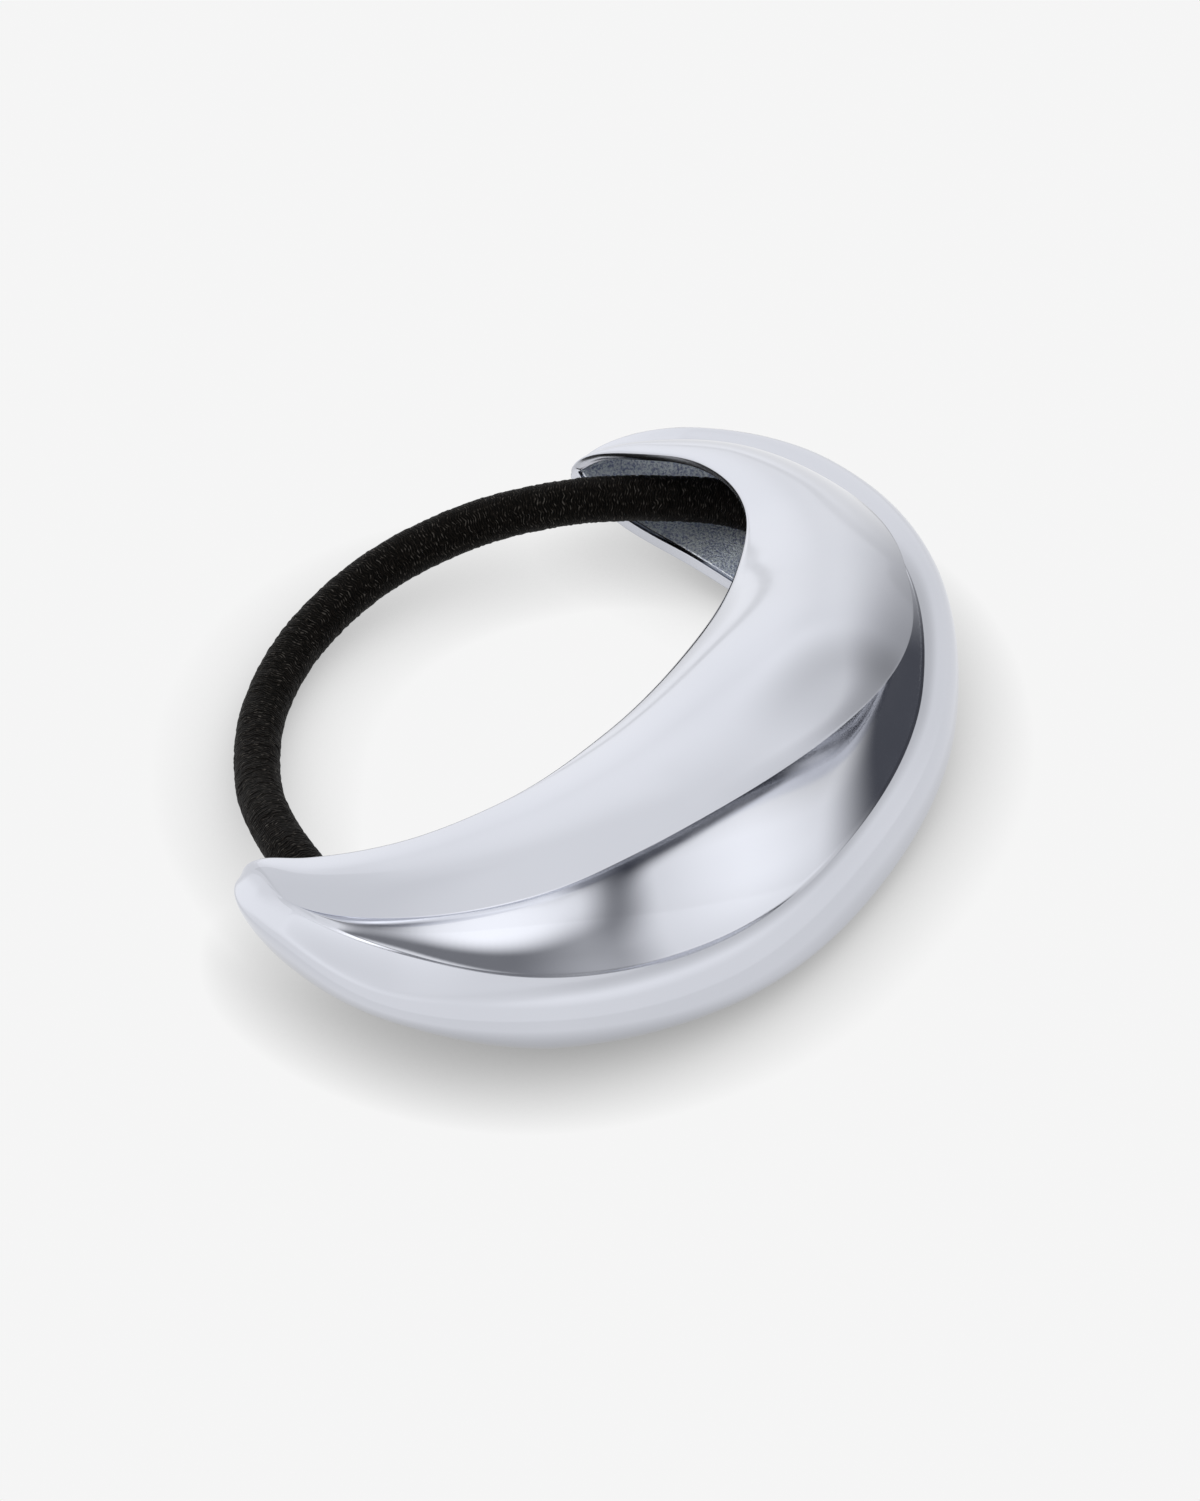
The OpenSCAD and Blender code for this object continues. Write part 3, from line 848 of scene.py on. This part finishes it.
def light_tent():
    """A soft white tent round the cuff, with brighter and darker patches."""
    bpy.context.scene.view_settings.view_transform = "Standard"
    world = bpy.data.worlds.new("studio")
    bpy.context.scene.world = world
    world.use_nodes = True
    tree = world.node_tree
    looking = places(tree, "Generated")
    light = TENT_LIGHT
    for azimuth, elevation, spread, strength in TENT_PATCHES:
        a, e = math.radians(azimuth), math.radians(elevation)
        towards = tree.nodes.new("ShaderNodeVectorMath")
        towards.operation = "DOT_PRODUCT"
        link(tree, looking, towards.inputs[0])
        towards.inputs[1].default_value = (math.cos(a) * math.cos(e), math.sin(a) * math.cos(e), math.sin(e))
        edge = math.cos(math.radians(spread))
        light = maths(tree, "ADD", light, between(tree, towards.outputs["Value"], edge, 1.0, 0.0, strength))
    sky = tree.nodes["Background"]
    sky.inputs["Color"].default_value = (1, 1, 1, 1)
    link(tree, light, sky.inputs["Strength"])


def make_reflection_sheet(cloth):
    """A sheet, seen only in reflections, that paints dark patches and glowing cards into them. It closes the
    valley's mouth and stands on the leaf's edge.
    """
    bm = bmesh.new()
    bmesh.ops.create_grid(bm, x_segments=FLAG_DEGREES, y_segments=FLAG_ROWS, size=0.5, calc_uvs=True)
    sheet = bm.loops.layers.uv.verify()
    for face in bm.faces:
        for corner in face.loops:
            across, up, _ = corner.vert.co
            corner[sheet].uv = (FLAG_FROM + (across + 0.5) * FLAG_DEGREES, FLAG_LEVELS * (up + 0.5))
    for vertex in bm.verts:
        turn = FLAG_FROM + (vertex.co.x + 0.5) * FLAG_DEGREES
        level = FLAG_LEVELS * (vertex.co.y + 0.5)
        side = -1 if turn < QUARTER else 1
        angle = min(turn, 2 * QUARTER - turn)
        rim, leaf, valley, crest, band, foot = outer_lines(angle)
        out = np.array([leaf[1] - crest[1], crest[0] - leaf[0]])
        out *= np.sign(out[0]) * FLAG_GAP / np.linalg.norm(out)
        above = FLAG_HEIGHT * max(level - 1, 0)
        spot = crest + (leaf - crest) * min(level, 1) + out + [0, above]
        vertex.co = Vector(in_space(side, *spot, angle))
    return new_object("painted_reflection_sheet", bm, [cloth])


# The camera and the cord
make_camera()

elastic, centres = make_elastic(black_yarn())
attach(elastic, "root")
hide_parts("elastic")
start = CLOSED_AT * len(centres) // len(ROUTE)
path = np.roll(centres, -start, axis=0)[::PATH_STEPS]
path = np.vstack([path, path[:1]])

# The metal
cloudy = cloudy_group()
shell = make_shell(polished_metal(cloudy), grainy_hollow())
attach(shell, "root")
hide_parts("shell")

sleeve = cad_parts["elastic_sleeve"]
sleeve.data.materials.clear()
sleeve.data.materials.append(sleeve_metal(cloudy))

# The studio
light_tent()
floor = make_floor(floor_paper())
# A sheet that paints reflections into the valley and onto the leaf and band, hidden from the camera and from
# light
reflection_sheet = make_reflection_sheet(painted_reflection_cloth())
reflection_sheet.visible_camera = False
reflection_sheet.visible_diffuse = False
reflection_sheet.visible_shadow = False
reflection_sheet.visible_transmission = False
